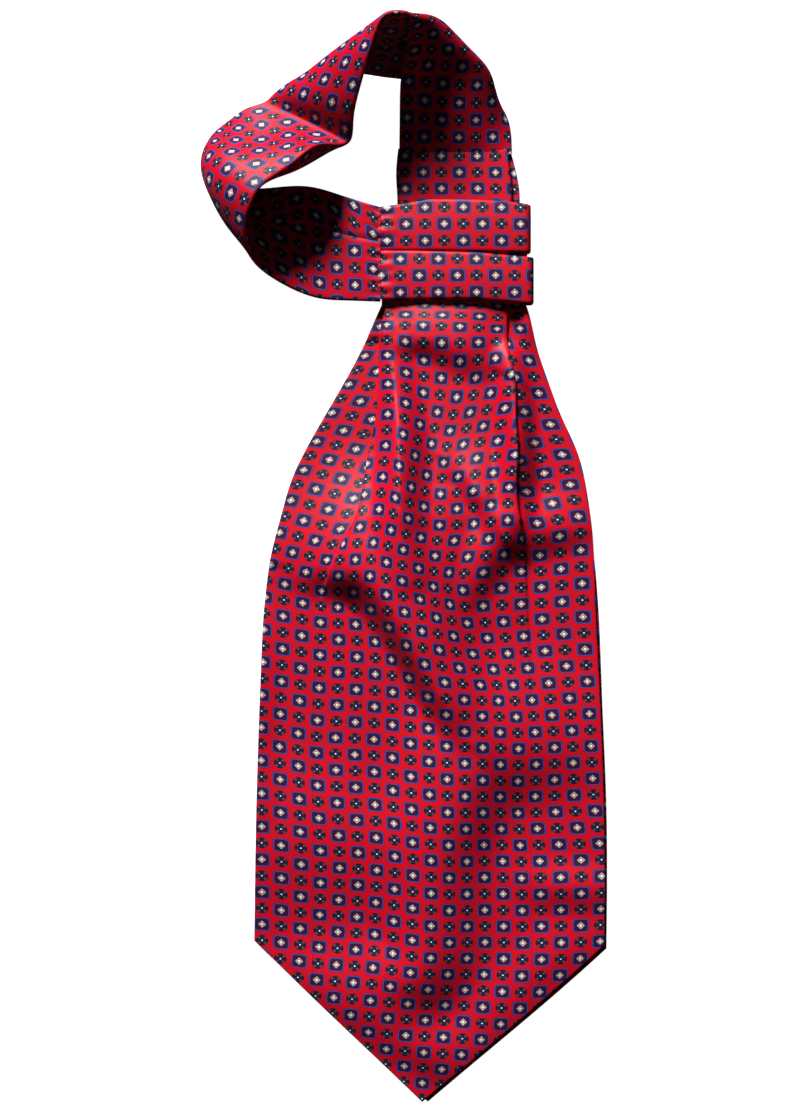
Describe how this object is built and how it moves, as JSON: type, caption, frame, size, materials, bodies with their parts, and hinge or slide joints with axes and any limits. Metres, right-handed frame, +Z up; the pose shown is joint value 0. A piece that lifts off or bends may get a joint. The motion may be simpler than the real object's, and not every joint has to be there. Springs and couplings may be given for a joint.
{
  "type": "silk cravat",
  "caption": "Self-tie silk cravat laid flat: wide pointed blade with a pleated neck over its twin, neckband standing in a loose loop and crossing over the neck.",
  "frame": {"origin": "middle of the bounding box, at the surface that the cravat lies on", "axes": "+Y from the blade's tip towards the neck loop, +X to the right as seen from above, +Z up from the surface"},
  "size_m": [0.1722, 0.4558, 0.0441],
  "materials": {
    "silk_front": "printed silk twill with a soft satin sheen",
    "silk_back": "printed silk twill with a soft satin sheen",
    "silk_neckband": "printed silk twill with a soft satin sheen",
    "silk_wrap_upper": "printed silk twill with a soft satin sheen",
    "silk_wrap_lower": "printed silk twill with a soft satin sheen",
    "silk_wrap_edge": "printed silk twill with a soft satin sheen"
  },
  "bodies": {
    "root": {"blade_front": "silk_front", "blade_back": "silk_back", "neckband": "silk_neckband", "wrap_upper_fold": "silk_wrap_upper", "wrap_lower_fold": "silk_wrap_lower", "wrap_under_edge": "silk_wrap_edge"}
  },
  "joints": []
}
